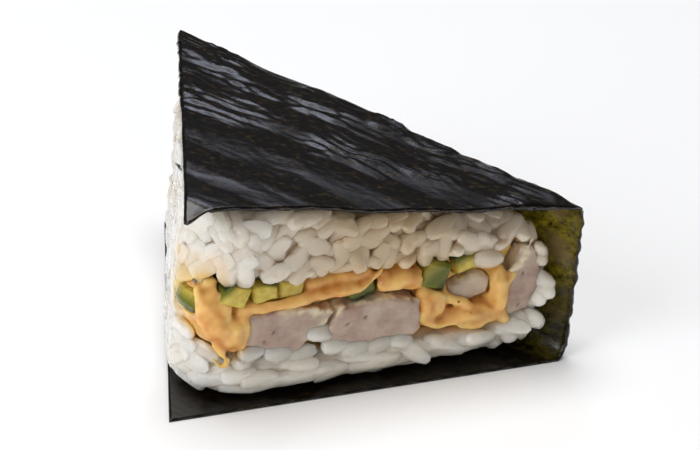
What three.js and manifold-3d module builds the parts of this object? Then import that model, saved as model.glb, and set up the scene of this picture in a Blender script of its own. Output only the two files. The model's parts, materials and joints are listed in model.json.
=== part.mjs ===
// A triangular onigiri sandwich: pressed short-grain rice with a pocket of chicken, cucumber and
// spiced mayonnaise sauce that is open along the front, in a jacket of one folded nori sheet.
// The nori covers the top, the long back side and the bottom. The front and the left side are bare.
// Millimetres, +Z up. +X runs along the front edge, +Y to the back corner, and the origin is the
// middle of the bottom.

import * as THREE from 'three';
import { mergeVertices } from 'three/addons/utils/BufferGeometryUtils.js';
import Module from 'manifold-3d';

const wasm = await Module();
wasm.setup();

// Nori jacket: the plan triangle of its fold lines, and its height over the three corners.
const FRONT_LENGTH = 90;
const DEPTH = 84;
const LEFT_X = -45.35;
const FRONT_Y = -41.5;
const BACK_CORNER_X = -6.75;
const LEFT_HEIGHT = 45.7;
const RIGHT_HEIGHT = 35;
const BACK_HEIGHT = 46.4;
const NORI_THICKNESS = 0.6;
const FOLD_RADIUS = 2.5;
const FOLD_STEPS = 3;
const WALL_STEPS = 5;
const TRIANGLE_ROWS = 16;

// Unevenness of the nori: fine wrinkles along the fold, a wide swell, a drooping corner and a wall
// that stands out a little at its right end.
const WRINKLE_HEIGHT = 0.25;
const WRINKLE_LENGTH = 17;
const WRINKLE_SKEW = 0.18;
const SWELL_HEIGHT = 0.4;
const SWELL_LENGTH = 53;
const SWELL_SKEW = 0.3;
const CORNER_DROOP = 1.5;
const DROOP_LENGTH = 10;
const DROOP_POWER = 1.5;
const WALL_SWELL = 0.5;
const WALL_SWELL_SHARE = 0.2;
const WALL_RIPPLE = 0.3;
const WALL_RIPPLES = 3.7;

// Rice: its rounded corners in plan, how far its sides stand past the nori's edges, and its rounded
// rim, which grows to a nose at the right end.
const RICE_GAP = 0.5;
const RICE_LEFT_RADIUS = 12.5;
const RICE_RIGHT_RADIUS = 2.6;
const RICE_BACK_RADIUS = 12;
const LEFT_BULGE = 2;
const BACK_RECESS = 2.2;
const FRONT_RECESS = 1;
const RIM_RADIUS = 3;
const NOSE_TOP_RADIUS = 14;
const NOSE_BOTTOM_RADIUS = 8;
const NOSE_STRETCH = 1.5;
const NOSE_START = 0;
const NOSE_END = 38;
const RIM_STEPS = 3;
const ARC_STEPS = 6;
const EDGE_STEP = 7;
const BOTTOM_RINGS = [0.5];
const TOP_RINGS = [0.72, 0.4];

// Rice grains: cooked short grain, half sunk in the rice.
const GRAIN_LENGTH = 7;
const GRAIN_WIDTH = 3.5;
const GRAIN_SIZES = [1.05, 0.95, 0.85];
const GRAIN_SPACING = 5.4;
const GRAIN_TRIES = 2600;
const GRAIN_PROUD = 1.1;
const GRAIN_TILT = 0.4;
const GRAIN_RIM_SLANT = 0.25;
const GRAIN_RIM_REACH = 2.6;
const GRAIN_SEED = 11;
const TRIM_MARGIN = 0.05;
const ROOM_MARGIN = 8;

// Filling: the pocket in the rice with its rounded corners in plan as [x, y, radius], and the plane
// near the front on which the pieces show.
const POCKET_HEIGHT = 16.6;
const POCKET_MIDDLE = 16.9;
const POCKET_LEFT_RISE = 4;
const POCKET_LEFT_SPAN = [26, 40];
const POCKET_RIGHT_RISE = 2.5;
const POCKET_RIGHT_SPAN = [24, 38];
const POCKET_ROUNDNESS = 5;
const POCKET_RINGS = [0.45, 0.75, 0.93];
const POCKET_CORNERS = [
  [-32.8, -30.5, 7.5], [-27.3, -58, 6], [38.7, -58, 4], [36.2, -39, 3.2], [-7.8, 6, 8],
];
const FILLING_FRONT = -39;
const FIT_GAP = 0.35;
const CHUNK_EASE = 0.7;
const SAUCE_RECESS = 4;
const LOBE_SIDES = 8;
const LOBE_RINGS = 6;

const leftCorner = new THREE.Vector2(LEFT_X, FRONT_Y);
const rightCorner = new THREE.Vector2(LEFT_X + FRONT_LENGTH, FRONT_Y);
const backCorner = new THREE.Vector2(BACK_CORNER_X, FRONT_Y + DEPTH);
const alongFold = backCorner.clone().sub(rightCorner).normalize();
const foldOutward = new THREE.Vector2(alongFold.y, -alongFold.x);
const alongLeft = backCorner.clone().sub(leftCorner).normalize();
const leftOutward = new THREE.Vector2(-alongLeft.y, alongLeft.x);

// A small seeded random generator, so that every build gives the same grains.
function seededRandom(seed) {
  let state = seed;
  return () => {
    state = (state + 0x6d2b79f5) | 0;
    let mixed = Math.imul(state ^ (state >>> 15), 1 | state);
    mixed = (mixed + Math.imul(mixed ^ (mixed >>> 7), 61 | mixed)) ^ mixed;
    return ((mixed ^ (mixed >>> 14)) >>> 0) / 4294967296;
  };
}

// A geometry from a list of points and a list of triangles.
function geometryOf(points, triangles) {
  const geometry = new THREE.BufferGeometry().setFromPoints(points);
  geometry.setIndex(triangles.flat());
  return geometry;
}

// A closed geometry as a solid that can be joined and cut.
function solidOf(geometry) {
  const bare = geometry.clone();
  bare.deleteAttribute('normal');
  bare.deleteAttribute('uv');
  const merged = mergeVertices(bare, 1e-4);
  const index = merged.index.array;
  const triangles = [];
  for (let i = 0; i < index.length; i += 3) {
    const [a, b, c] = [index[i], index[i + 1], index[i + 2]];
    if (a !== b && b !== c && c !== a) triangles.push(a, b, c);
  }
  const mesh = new wasm.Mesh({
    numProp: 3,
    vertProperties: new Float32Array(merged.attributes.position.array),
    triVerts: new Uint32Array(triangles),
  });
  return new wasm.Manifold(mesh);
}

// A solid's largest body as a geometry: loose scraps that a cut leaves are dropped.
function geometryOfSolid(solid) {
  const bodies = solid.decompose().sort((a, b) => b.volume() - a.volume());
  const mesh = bodies[0].getMesh();
  const geometry = new THREE.BufferGeometry();
  geometry.setAttribute('position', new THREE.BufferAttribute(mesh.vertProperties, 3));
  geometry.setIndex(new THREE.BufferAttribute(mesh.triVerts, 1));
  return geometry;
}

// A closed body through rings of equally many points, with a single point at each end. The rings
// run anticlockwise seen from above and go upwards.
function ringBody(firstPoint, rings, lastPoint) {
  const count = rings[0].length;
  const points = [firstPoint, ...rings.flat(), lastPoint];
  const last = points.length - 1;
  const at = (ring, step) => 1 + ring * count + (step % count);
  const triangles = [];
  for (let step = 0; step < count; step++) {
    triangles.push([0, at(0, step + 1), at(0, step)]);
    for (let ring = 0; ring + 1 < rings.length; ring++) {
      triangles.push([at(ring, step), at(ring, step + 1), at(ring + 1, step + 1)]);
      triangles.push([at(ring, step), at(ring + 1, step + 1), at(ring + 1, step)]);
    }
    triangles.push([last, at(rings.length - 1, step), at(rings.length - 1, step + 1)]);
  }
  return geometryOf(points, triangles);
}

// The outline round a ring of discs given as [x, y, radius], in anticlockwise order: an arc on each
// disc, and edges split into steps of about one length.
function outlineRound(discs, edgeStep) {
  const edgeAngle = (from, to) => {
    const [dx, dy] = [to[0] - from[0], to[1] - from[1]];
    return Math.atan2(dy, dx) - Math.acos((from[2] - to[2]) / Math.hypot(dx, dy));
  };
  const arcs = discs.map((disc, i) => {
    const before = discs[(i + discs.length - 1) % discs.length];
    const after = discs[(i + 1) % discs.length];
    const start = edgeAngle(before, disc);
    const end = edgeAngle(disc, after);
    return new THREE.ArcCurve(disc[0], disc[1], disc[2], start, end, false).getPoints(ARC_STEPS);
  });
  return arcs.flatMap((arc, i) => {
    const from = arc.at(-1);
    const to = arcs[(i + 1) % arcs.length][0];
    const count = Math.max(1, Math.round(from.distanceTo(to) / edgeStep));
    const between = Array.from({ length: count - 1 }, (_, n) => from.clone().lerp(to, (n + 1) / count));
    return [...arc, ...between];
  });
}

function middleOf(points) {
  const sum = points.reduce((total, point) => total.add(point), new THREE.Vector2());
  return sum.divideScalar(points.length);
}

// Height of the nori's middle surface over the plan, with shallow wrinkles that run along the fold
// and a droop at the free front left corner.
const topSlope = new THREE.Vector2();
topSlope.x = (RIGHT_HEIGHT - LEFT_HEIGHT) / FRONT_LENGTH;
topSlope.y = (BACK_HEIGHT - LEFT_HEIGHT - topSlope.x * (backCorner.x - leftCorner.x)) / DEPTH;
function noriHeight(x, y) {
  const fromLeft = new THREE.Vector2(x, y).sub(leftCorner);
  const plane = LEFT_HEIGHT - NORI_THICKNESS / 2 + topSlope.dot(fromLeft);
  const across = fromLeft.dot(foldOutward);
  const along = fromLeft.dot(alongFold);
  const wave = Math.sin((2 * Math.PI * (across + WRINKLE_SKEW * along)) / WRINKLE_LENGTH);
  const swell = Math.sin((2 * Math.PI * (SWELL_SKEW * across - along)) / SWELL_LENGTH);
  const droop = CORNER_DROOP * Math.max(0, 1 - fromLeft.length() / DROOP_LENGTH) ** DROOP_POWER;
  return plane + WRINKLE_HEIGHT * wave + SWELL_HEIGHT * swell - droop;
}

// Nori: rows of points over the top triangle, round the upper fold, down the back wall, round the
// lower fold and back over the bottom triangle. Both faces of the sheet share this net.
function noriRows() {
  const rows = [];
  const columns = Array.from({ length: TRIANGLE_ROWS + 1 }, (_, column) => {
    const share = column / TRIANGLE_ROWS;
    const foot = rightCorner.clone().lerp(backCorner, share);
    const inner = foot.clone().addScaledVector(foldOutward, -FOLD_RADIUS);
    return { share, foot, inner, top: noriHeight(inner.x, inner.y) };
  });
  const triangleRow = (row, height) => {
    const points = [];
    for (let i = 0; i <= row; i++) {
      const column = row ? (i / row) * TRIANGLE_ROWS : 0;
      const near = columns[Math.floor(column)].inner;
      const next = columns[Math.min(TRIANGLE_ROWS, Math.floor(column) + 1)].inner;
      const edge = near.clone().lerp(next, column % 1);
      const point = leftCorner.clone().lerp(edge, row / TRIANGLE_ROWS);
      points.push(new THREE.Vector3(point.x, point.y, height(point.x, point.y)));
    }
    return points;
  };
  const wallPoint = (column, out, height) => {
    const point = column.foot.clone().addScaledVector(foldOutward, out);
    return new THREE.Vector3(point.x, point.y, height);
  };
  const low = NORI_THICKNESS / 2 + FOLD_RADIUS;
  const swellAt = (column, level) => {
    const toRight = Math.max(0, 1 - column.share / WALL_SWELL_SHARE);
    const ripple = Math.sin(2 * Math.PI * WALL_RIPPLES * column.share);
    return Math.sin(Math.PI * level) * (WALL_SWELL * toRight + WALL_RIPPLE * ripple);
  };
  for (let row = 0; row <= TRIANGLE_ROWS; row++) rows.push(triangleRow(row, noriHeight));
  for (let step = 1; step <= FOLD_STEPS; step++) {
    const turn = (step / FOLD_STEPS) * (Math.PI / 2);
    rows.push(columns.map((column) => {
      const out = FOLD_RADIUS * (Math.sin(turn) - 1);
      return wallPoint(column, out, column.top - FOLD_RADIUS * (1 - Math.cos(turn)));
    }));
  }
  for (let step = 1; step <= WALL_STEPS; step++) {
    const level = 1 - step / WALL_STEPS;
    rows.push(columns.map((column) => {
      const height = low + level * (column.top - FOLD_RADIUS - low);
      return wallPoint(column, swellAt(column, level), height);
    }));
  }
  for (let step = 1; step < FOLD_STEPS; step++) {
    const turn = (step / FOLD_STEPS) * (Math.PI / 2);
    rows.push(columns.map((column) => {
      const out = FOLD_RADIUS * (Math.cos(turn) - 1);
      return wallPoint(column, out, low - FOLD_RADIUS * Math.sin(turn));
    }));
  }
  for (let row = TRIANGLE_ROWS; row >= 0; row--) rows.push(triangleRow(row, () => NORI_THICKNESS / 2));
  return rows;
}

// A thin solid about a net of rows: two alike faces half a thickness either side, and its rim.
function sheetOf(rows, thickness) {
  const points = rows.flat();
  const starts = [];
  rows.reduce((start, row) => (starts.push(start), start + row.length), 0);
  const triangles = [];
  for (let row = 0; row + 1 < rows.length; row++) {
    const [first, second] = [rows[row].length, rows[row + 1].length];
    const [a, b] = [starts[row], starts[row + 1]];
    for (let i = 0; i < Math.max(first, second) - 1; i++) {
      if (second > first) {
        triangles.push([a + i, b + i, b + i + 1]);
        if (i + 1 < first) triangles.push([a + i, b + i + 1, a + i + 1]);
      } else if (first > second) {
        triangles.push([a + i, b + i, a + i + 1]);
        if (i + 1 < second) triangles.push([a + i + 1, b + i, b + i + 1]);
      } else {
        triangles.push([a + i, b + i, b + i + 1]);
        triangles.push([a + i, b + i + 1, a + i + 1]);
      }
    }
  }
  const net = geometryOf(points, triangles);
  net.computeVertexNormals();
  const normals = points.map((_, i) => new THREE.Vector3().fromBufferAttribute(net.attributes.normal, i));
  const shifted = (side) => points.map((point, i) => {
    return point.clone().addScaledVector(normals[i], side * thickness / 2);
  });
  const count = points.length;
  const rim = [];
  const used = new Map();
  for (const [a, b, c] of triangles) {
    for (const [from, to] of [[a, b], [b, c], [c, a]]) used.set(`${from},${to}`, [from, to]);
  }
  for (const [from, to] of used.values()) {
    if (used.has(`${to},${from}`)) continue;
    rim.push([to, from, from + count], [to, from + count, to + count]);
  }
  const inner = triangles.map(([a, b, c]) => [a + count, c + count, b + count]);
  return geometryOf([...shifted(1), ...shifted(-1)], [...triangles, ...inner, ...rim]);
}

// Rice: its plan at half height is three rounded corners. Its left side bulges past the nori's edge
// at the front and recedes under it towards the back.
function riceDiscs() {
  const corner = (point, radius, outA, outwardA, outB, outwardB) => {
    const [a, b] = [outA - radius, outB - radius];
    const cross = outwardA.x * outwardB.y - outwardA.y * outwardB.x;
    const dx = (a * outwardB.y - b * outwardA.y) / cross;
    const dy = (outwardA.x * b - outwardB.x * a) / cross;
    return [point.x + dx, point.y + dy, radius];
  };
  const frontOutward = new THREE.Vector2(0, -1);
  const wallInside = -(NORI_THICKNESS / 2 + RICE_GAP);
  return [
    corner(leftCorner, RICE_LEFT_RADIUS, LEFT_BULGE, leftOutward, -FRONT_RECESS, frontOutward),
    corner(rightCorner, RICE_RIGHT_RADIUS, -FRONT_RECESS, frontOutward, wallInside, foldOutward),
    corner(backCorner, RICE_BACK_RADIUS, wallInside, foldOutward, -BACK_RECESS, leftOutward),
  ];
}

const riceOutline = outlineRound(riceDiscs(), EDGE_STEP);
const riceMiddle = middleOf(riceOutline);
const riceFloor = NORI_THICKNESS + RICE_GAP;
const riceCeiling = (x, y) => noriHeight(x, y) - NORI_THICKNESS / 2 - RICE_GAP;

// The rim's radius at the top or bottom side grows to the right end, where the rice has its nose.
const noseShare = (x) => THREE.MathUtils.smoothstep(x, NOSE_START, NOSE_END);
function rimRadius(x, side) {
  const nose = side < 0 ? NOSE_BOTTOM_RADIUS : NOSE_TOP_RADIUS;
  return THREE.MathUtils.lerp(RIM_RADIUS, nose, noseShare(x));
}

// A point of the rice's side: the outline moved towards the middle by the rim's rounding. The turn
// runs from 0 at half height to 90 degrees at the bottom face (side -1) or the top face (side 1).
function riceSide(edge, side, turn) {
  const radius = rimRadius(edge.x, side);
  const stretch = THREE.MathUtils.lerp(1, NOSE_STRETCH, noseShare(edge.x));
  const inset = GRAIN_PROUD + stretch * radius * (1 - Math.cos(turn));
  const place = riceMiddle.clone().lerp(edge, 1 - inset / edge.distanceTo(riceMiddle));
  const rise = radius * (1 - Math.sin(turn));
  const height = side < 0 ? riceFloor + rise : riceCeiling(place.x, place.y) - rise;
  return new THREE.Vector3(place.x, place.y, height);
}

// The bare rice under the grains: a flat bottom, the rounded side, and a top that follows the nori.
function riceCore() {
  const face = (side, share) => riceOutline.map((edge) => {
    const rim = riceSide(edge, side, Math.PI / 2);
    const place = riceMiddle.clone().lerp(new THREE.Vector2(rim.x, rim.y), share);
    const height = side < 0 ? riceFloor : riceCeiling(place.x, place.y);
    return new THREE.Vector3(place.x, place.y, height);
  });
  const turns = Array.from({ length: RIM_STEPS + 1 }, (_, step) => (step / RIM_STEPS) * (Math.PI / 2));
  const rings = [
    ...BOTTOM_RINGS.map((share) => face(-1, share)),
    ...turns.toReversed().map((turn) => riceOutline.map((edge) => riceSide(edge, -1, turn))),
    ...turns.map((turn) => riceOutline.map((edge) => riceSide(edge, 1, turn))),
    ...TOP_RINGS.map((share) => face(1, share)),
  ];
  const { x, y } = riceMiddle;
  const lowest = new THREE.Vector3(x, y, riceFloor);
  return ringBody(lowest, rings, new THREE.Vector3(x, y, riceCeiling(x, y)));
}

// Pocket: a flat lens that reaches out through the front, closed at the left side and the back.
const pocketOutline = outlineRound(POCKET_CORNERS, 2 * EDGE_STEP);
const pocketMiddle = middleOf(pocketOutline);
function pocket(gap) {
  const pointAt = (place, thin) => {
    const left = POCKET_LEFT_RISE * THREE.MathUtils.smoothstep(-place.x, ...POCKET_LEFT_SPAN);
    const right = POCKET_RIGHT_RISE * THREE.MathUtils.smoothstep(place.x, ...POCKET_RIGHT_SPAN);
    const half = (POCKET_HEIGHT + right) / 2 - gap;
    return new THREE.Vector3(place.x, place.y, POCKET_MIDDLE + left + right / 2 + thin * half);
  };
  const ringAt = (share, side) => pocketOutline.map((edge) => {
    const place = pocketMiddle.clone().lerp(edge, share * (1 - gap / edge.distanceTo(pocketMiddle)));
    return pointAt(place, side * (1 - share ** POCKET_ROUNDNESS) ** (1 / POCKET_ROUNDNESS));
  });
  const rings = [...POCKET_RINGS.map((share) => ringAt(share, -1)), ringAt(1, 0)];
  rings.push(...POCKET_RINGS.toReversed().map((share) => ringAt(share, 1)));
  return solidOf(ringBody(pointAt(pocketMiddle, -1), rings, pointAt(pocketMiddle, 1)));
}

// Grains over the front, the left side and the rounded ends, largest first, with even spacing.
function riceGrains() {
  const random = seededRandom(GRAIN_SEED);
  const path = new THREE.Path(riceOutline).closePath();
  const placed = [];
  const grains = [];
  const wallFacing = 0.8;
  for (const size of GRAIN_SIZES) {
    for (let attempt = 0; attempt < GRAIN_TRIES; attempt++) {
      const share = random();
      const level = random();
      const spin = random() * Math.PI;
      const tilt = (random() - 0.5) * GRAIN_TILT;
      const edge = path.getPointAt(share);
      const along = path.getTangentAt(share);
      const outward = new THREE.Vector2(along.y, -along.x);
      if (outward.dot(foldOutward) > wallFacing) continue;
      const ceiling = riceCeiling(edge.x, edge.y);
      const height = THREE.MathUtils.lerp(riceFloor + GRAIN_RIM_REACH, ceiling - GRAIN_RIM_REACH, level);
      const side = level < 0.5 ? -1 : 1;
      const toFace = side < 0 ? height - riceFloor : ceiling - height;
      const turn = Math.asin(Math.max(0, 1 - toFace / rimRadius(edge.x, side)));
      const place = riceSide(edge, side, turn);
      place.z = height;
      if (placed.some((other) => other.distanceTo(place) < GRAIN_SPACING * size)) continue;
      placed.push(place);
      const flat = Math.cos(turn);
      const normal = new THREE.Vector3(outward.x * flat, outward.y * flat, side * Math.sin(turn));
      const sideways = new THREE.Vector3(along.x, along.y, 0);
      const rising = new THREE.Vector3().crossVectors(normal, sideways);
      const steep = toFace < GRAIN_LENGTH / 2 ? GRAIN_RIM_SLANT : 1;
      const lengthwise = sideways.multiplyScalar(Math.cos(spin));
      lengthwise.addScaledVector(rising, Math.sin(spin) * steep);
      lengthwise.addScaledVector(normal, tilt).normalize();
      const crosswise = new THREE.Vector3().crossVectors(normal, lengthwise).normalize();
      const outwards = new THREE.Vector3().crossVectors(lengthwise, crosswise);
      const grain = new THREE.IcosahedronGeometry(1, 0);
      grain.scale(size * GRAIN_LENGTH / 2, GRAIN_WIDTH / 2, GRAIN_WIDTH / 2);
      grain.applyMatrix4(new THREE.Matrix4().makeBasis(lengthwise, crosswise, outwards).setPosition(place));
      grains.push(solidOf(grain));
    }
  }
  return grains;
}

// The room inside the jacket, open to the front and left, which trims grains that reach the nori.
function jacketRoom() {
  const wall = RICE_GAP + NORI_THICKNESS / 2 + TRIM_MARGIN;
  const corners = [
    leftCorner.clone().add(new THREE.Vector2(-ROOM_MARGIN, -ROOM_MARGIN)),
    rightCorner.clone().add(new THREE.Vector2(ROOM_MARGIN, -ROOM_MARGIN)),
    backCorner.clone().add(new THREE.Vector2(-ROOM_MARGIN, ROOM_MARGIN)),
  ];
  corners[1].addScaledVector(foldOutward, -wall - corners[1].clone().sub(rightCorner).dot(foldOutward));
  corners[2].addScaledVector(foldOutward, -wall - corners[2].clone().sub(rightCorner).dot(foldOutward));
  const edge = outlineRound(corners.map(({ x, y }) => [x, y, TRIM_MARGIN]), EDGE_STEP);
  const middle = middleOf(edge);
  const ringAt = (share, height) => edge.map((point) => {
    const place = middle.clone().lerp(point, share);
    return new THREE.Vector3(place.x, place.y, height(place.x, place.y));
  });
  const floor = () => riceFloor - TRIM_MARGIN;
  const ceiling = (x, y) => riceCeiling(x, y) + TRIM_MARGIN;
  const shares = [0.25, 0.5, 0.75, 1];
  const rings = shares.map((share) => ringAt(share, floor));
  rings.push(...shares.toReversed().map((share) => ringAt(share, ceiling)));
  const low = new THREE.Vector3(middle.x, middle.y, floor());
  return solidOf(ringBody(low, rings, new THREE.Vector3(middle.x, middle.y, ceiling(middle.x, middle.y))));
}

function riceGeometry() {
  const heap = wasm.Manifold.union([solidOf(riceCore()), ...riceGrains()]);
  return geometryOfSolid(heap.intersect(jacketRoom()).subtract(pocket(0)));
}

// A chunk of the filling: an outline seen from the front, run back into the pocket, with its edges
// eased. A grown copy leaves the fit gap round it.
function chunk({ outline, front, depth }, grow) {
  const shape = new THREE.Shape(outline.map(([x, z]) => new THREE.Vector2(x, z)));
  const geometry = new THREE.ExtrudeGeometry(shape, {
    depth: depth - 2 * CHUNK_EASE + 2 * grow,
    bevelEnabled: true,
    bevelThickness: CHUNK_EASE,
    bevelSize: CHUNK_EASE,
    bevelOffset: grow - CHUNK_EASE,
    bevelSegments: 1,
  });
  geometry.rotateX(Math.PI / 2);
  geometry.translate(0, front + depth - CHUNK_EASE + grow, 0);
  return solidOf(geometry);
}

// Chicken: cut faces at the front, as [x, z] corners, and how far each chunk runs back.
const chickenChunks = [
  {
    name: 'chicken_1',
    front: FILLING_FRONT + 0.6,
    depth: 22,
    outline: [[-28.3, 11.9], [-14.1, 9.1], [-10.5, 14.6], [-10.2, 17.4], [-23.9, 19.2], [-28.5, 18.6]],
  },
  {
    name: 'chicken_2',
    front: FILLING_FRONT + 0.2,
    depth: 24,
    outline: [
      [-9.9, 11.6], [-5.9, 9.2], [7.7, 9.1], [10.8, 9.8], [11, 13.3], [10.1, 16.9], [2, 18.6], [-9.6, 17.6],
    ],
  },
  {
    name: 'chicken_3',
    front: FILLING_FRONT + 0.6,
    depth: 8,
    outline: [[31.3, 9.8], [36.6, 10.4], [38.6, 14], [38.6, 22], [37, 25.6], [33.4, 25.6], [30.7, 16]],
  },
  {
    name: 'chicken_4',
    front: FILLING_FRONT + 2.2,
    depth: 14,
    outline: [[17.7, 15.2], [21.7, 13.8], [27.3, 15], [27.5, 18.4], [24.2, 20.2], [18.3, 18.2]],
  },
];

// Cucumber: dice given by middle, width, height and turn as seen from the front.
const cucumberDice = [
  { x: -38.6, z: 21.2, width: 5, height: 3.8, turn: 0.1, front: -35.2, depth: 7 },
  { x: -31, z: 23.6, width: 5.6, height: 4.8, turn: -0.35, front: -38.6, depth: 8 },
  { x: -24.6, z: 23.4, width: 5.4, height: 4.6, turn: 0.15, front: -38.2, depth: 8 },
  { x: -18.6, z: 22.8, width: 5.4, height: 4, turn: -0.1, front: -37.6, depth: 8 },
  { x: -2.6, z: 20.2, width: 6.4, height: 3.6, turn: 0.35, front: -37.4, depth: 8 },
  { x: 13.7, z: 21.6, width: 6, height: 6, turn: -0.3, front: -38.4, depth: 9 },
  { x: 22.1, z: 23.2, width: 6.4, height: 4.4, turn: 0.3, front: -36.8, depth: 8 },
];
function diceOutline({ x, z, width, height, turn }) {
  const corners = [[-1, -1], [1, -1], [1, 1], [-1, 1]];
  return corners.map(([across, up]) => {
    const corner = new THREE.Vector2(across * width / 2, up * height / 2);
    corner.rotateAround(new THREE.Vector2(), turn);
    return [x + corner.x, z + corner.y];
  });
}

// Sauce: a layer through the pocket with thick folds at the front: lobes, each an ellipsoid given
// by its middle and half sizes.
const sauceLobes = [
  { x: -34.7, y: -33.6, z: 18.6, across: 5.4, deep: 4.6, high: 7 },
  { x: -30.9, y: -35, z: 13.6, across: 3.6, deep: 4, high: 4.4 },
  { x: -20.3, y: -34.2, z: 20.4, across: 12, deep: 5, high: 2 },
  { x: -8.3, y: -34, z: 21.6, across: 9, deep: 5.4, high: 2.4 },
  { x: 5.7, y: -34, z: 21.4, across: 9.5, deep: 5.2, high: 3 },
  { x: 14.1, y: -34.4, z: 15.4, across: 4, deep: 5, high: 5.6 },
  { x: 22.7, y: -34.6, z: 11.4, across: 8.4, deep: 5, high: 3 },
  { x: 29.3, y: -34.8, z: 15.4, across: 2.6, deep: 5, high: 7 },
];
function sauceLayer() {
  const behind = new THREE.BoxGeometry(2 * FRONT_LENGTH, DEPTH, 2 * LEFT_HEIGHT);
  behind.translate(0, FILLING_FRONT + SAUCE_RECESS + DEPTH / 2, 0);
  const lobes = sauceLobes.map((lobe) => {
    const ball = new THREE.SphereGeometry(1, LOBE_SIDES, LOBE_RINGS);
    ball.scale(lobe.across, lobe.deep, lobe.high);
    ball.translate(lobe.x, lobe.y, lobe.z);
    return solidOf(ball);
  });
  return wasm.Manifold.union([solidOf(behind), ...lobes]);
}

// Each mesh has its own material, in the colours of the real pieces.
function meshOf(name, geometry, colour, roughness) {
  const material = new THREE.MeshStandardMaterial({ color: colour, roughness, metalness: 0 });
  const mesh = new THREE.Mesh(geometry, material);
  mesh.name = name;
  return mesh;
}

const onigiri = new THREE.Group();
onigiri.add(meshOf('nori', sheetOf(noriRows(), NORI_THICKNESS), '#211d19', 0.45));
onigiri.add(meshOf('rice', riceGeometry(), '#e0ddd6', 0.4));

// The filling goes in piece by piece, each cut round those before it with the fit gap. The sauce
// comes last and fills what is left of the pocket.
const room = pocket(FIT_GAP);
const gaps = [];
function fitted(solid) {
  return geometryOfSolid(gaps.reduce((left, gap) => left.subtract(gap), solid.intersect(room)));
}
chickenChunks.forEach((piece) => {
  onigiri.add(meshOf(piece.name, fitted(chunk(piece, 0)), '#b5a49b', 0.55));
  gaps.push(chunk(piece, FIT_GAP));
});
cucumberDice.forEach((dice, i) => {
  const piece = { ...dice, outline: diceOutline(dice) };
  onigiri.add(meshOf(`cucumber_${i + 1}`, fitted(chunk(piece, 0)), '#8ea04a', 0.35));
  gaps.push(chunk(piece, FIT_GAP));
});
onigiri.add(meshOf('sauce', fitted(sauceLayer()), '#e0a04c', 0.25));

export default onigiri;
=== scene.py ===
"""A triangular onigiri sandwich: pressed rice, a pocket of chicken, cucumber and spiced mayonnaise
along its open front, and a jacket of one folded nori sheet. Metres, in the frame of the CAD part."""

import json
import math
import random

import bmesh
import bpy
import numpy as np
from mathutils import Matrix, Vector, noise
from mathutils.bvhtree import BVHTree
from mathutils.kdtree import KDTree

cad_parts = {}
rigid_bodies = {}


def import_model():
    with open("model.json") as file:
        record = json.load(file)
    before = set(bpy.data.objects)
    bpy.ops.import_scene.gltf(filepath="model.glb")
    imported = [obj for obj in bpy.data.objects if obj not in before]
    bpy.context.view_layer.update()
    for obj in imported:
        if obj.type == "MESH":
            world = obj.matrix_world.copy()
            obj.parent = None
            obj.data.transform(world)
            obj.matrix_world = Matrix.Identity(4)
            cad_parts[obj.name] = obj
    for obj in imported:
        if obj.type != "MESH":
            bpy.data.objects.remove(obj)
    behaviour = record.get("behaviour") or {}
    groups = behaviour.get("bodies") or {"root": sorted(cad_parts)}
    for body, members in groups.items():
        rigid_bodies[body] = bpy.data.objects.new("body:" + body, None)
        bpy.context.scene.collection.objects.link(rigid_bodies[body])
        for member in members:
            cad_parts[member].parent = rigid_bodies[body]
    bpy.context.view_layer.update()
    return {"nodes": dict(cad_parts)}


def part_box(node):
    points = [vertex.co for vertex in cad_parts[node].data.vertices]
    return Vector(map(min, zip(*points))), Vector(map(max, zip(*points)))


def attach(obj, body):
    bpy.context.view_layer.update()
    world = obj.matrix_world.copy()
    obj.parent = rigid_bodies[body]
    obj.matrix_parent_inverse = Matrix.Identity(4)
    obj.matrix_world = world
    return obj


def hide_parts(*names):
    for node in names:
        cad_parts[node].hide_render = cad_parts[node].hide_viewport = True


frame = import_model()

# Pressed rice: the mass of cooked short-grain rice that a triangular mould pressed together.
# It lies under the grains that show, so it is the CAD rice with its grains smoothed away, drawn in a
# little, and fuller on its left side towards the back. It is steamed, moist and slightly see-through.
MM = 0.001
CORE_VOXEL = 1.6 * MM
CORE_SMOOTHING = 8
CORE_DRAWN_IN = 1.6 * MM
THIN_WALL_SHARE = 0.3
THIN_WALL_REACH = 10 * MM
LEFT_FULLER = 4.6 * MM
FULLER_FROM = -25 * MM
FULLER_OVER = 45 * MM


def cad_copy(node):
    body = bmesh.new()
    body.from_mesh(frame["nodes"][node].data)
    bmesh.ops.remove_doubles(body, verts=body.verts, dist=0.005 * MM)
    return body


def remeshed(body, voxel):
    mesh = bpy.data.meshes.new("remesh")
    body.to_mesh(mesh)
    body.free()
    holder = bpy.data.objects.new("remesh", mesh)
    bpy.context.scene.collection.objects.link(holder)
    voxels = holder.modifiers.new("voxels", "REMESH")
    voxels.mode = "VOXEL"
    voxels.voxel_size = voxel
    evaluated = holder.evaluated_get(bpy.context.evaluated_depsgraph_get())
    even = bmesh.new()
    even.from_mesh(evaluated.to_mesh())
    bpy.data.objects.remove(holder)
    bpy.data.meshes.remove(mesh)
    return even


def smoothed(body, rounds):
    for _ in range(rounds):
        bmesh.ops.smooth_vert(
            body, verts=body.verts, factor=0.5, use_axis_x=True, use_axis_y=True, use_axis_z=True
        )
    body.normal_update()
    return body


def linear(hex_colour):
    shares = [int(hex_colour[i : i + 2], 16) / 255 for i in (1, 3, 5)]
    curve = [s / 12.92 if s <= 0.04045 else ((s + 0.055) / 1.055) ** 2.4 for s in shares]
    return (*curve, 1)


def add_node(tree, kind, settings=(), inputs=()):
    node = tree.nodes.new(kind)
    for name, value in dict(settings).items():
        setattr(node, name, value)
    for name, value in dict(inputs).items():
        if isinstance(value, bpy.types.NodeSocket):
            tree.links.new(value, node.inputs[name])
        else:
            node.inputs[name].default_value = value
    return node


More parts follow.
